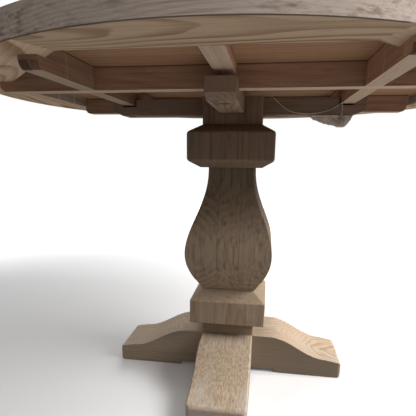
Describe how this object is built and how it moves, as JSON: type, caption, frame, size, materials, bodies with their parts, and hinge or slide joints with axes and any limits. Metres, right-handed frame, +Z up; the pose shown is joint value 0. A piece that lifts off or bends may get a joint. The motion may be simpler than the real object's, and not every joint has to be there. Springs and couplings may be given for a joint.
{
  "type": "round pedestal table",
  "caption": "Round wooden dining table: a ring-and-board top on crossed battens and bearers, carried by a square vase-shaped column on crossed scrolled feet.",
  "frame": {"origin": "on the floor, under the middle of the column", "axes": "+Z up; X runs along the long bearer and the front batten, Y along the cross bearer, with the front at -Y"},
  "size_m": [1.1998, 1.1998, 0.78],
  "materials": {
    "ring_wood": "weathered grey-brown, wire-brushed, matt wax",
    "panel_wood": "planed, pale warm brown, dry underneath",
    "batten_wood": "sawn and planed, dry",
    "bearer_wood": "brown-grey stain, matt",
    "column_wood": "weathered grey-brown, matt wax",
    "foot_wood": "weathered tan, matt wax",
    "dowel_wood": "plain beech",
    "zinc_steel": "dull zinc plate",
    "bag_cloth": "thin unbleached cotton",
    "string_cotton": "twisted cotton"
  },
  "bodies": {
    "root": {"ring_piece_1": "ring_wood", "ring_piece_2": "ring_wood", "ring_piece_3": "ring_wood", "ring_piece_4": "ring_wood", "ring_piece_5": "ring_wood", "ring_piece_6": "ring_wood", "ring_piece_7": "ring_wood", "ring_piece_8": "ring_wood", "panel_board_1": "panel_wood", "panel_board_2": "panel_wood", "panel_board_3": "panel_wood", "panel_board_4": "panel_wood", "panel_board_5": "panel_wood", "panel_board_6": "panel_wood", "panel_board_7": "panel_wood", "batten_front": "batten_wood", "batten_rear": "batten_wood", "batten_left": "batten_wood", "batten_right": "batten_wood", "short_batten_front": "batten_wood", "short_batten_rear": "batten_wood", "bearer_long": "bearer_wood", "bearer_cross": "bearer_wood", "neck_block": "bearer_wood", "capital_block": "bearer_wood", "vase_board_1": "column_wood", "vase_board_2": "column_wood", "vase_board_3": "column_wood", "vase_board_4": "column_wood", "vase_board_5": "column_wood", "plinth_block": "column_wood", "hub_block": "column_wood", "foot_beam_long": "foot_wood", "foot_beam_cross": "foot_wood", "ring_splines": "dowel_wood", "column_dowels": "dowel_wood", "tie_rod": "zinc_steel", "tie_rod_nuts": "zinc_steel", "tie_rod_washers": "zinc_steel", "coach_screws": "zinc_steel", "coach_screw_washers": "zinc_steel", "fittings_bag": "bag_cloth", "bag_string": "string_cotton"}
  },
  "joints": []
}
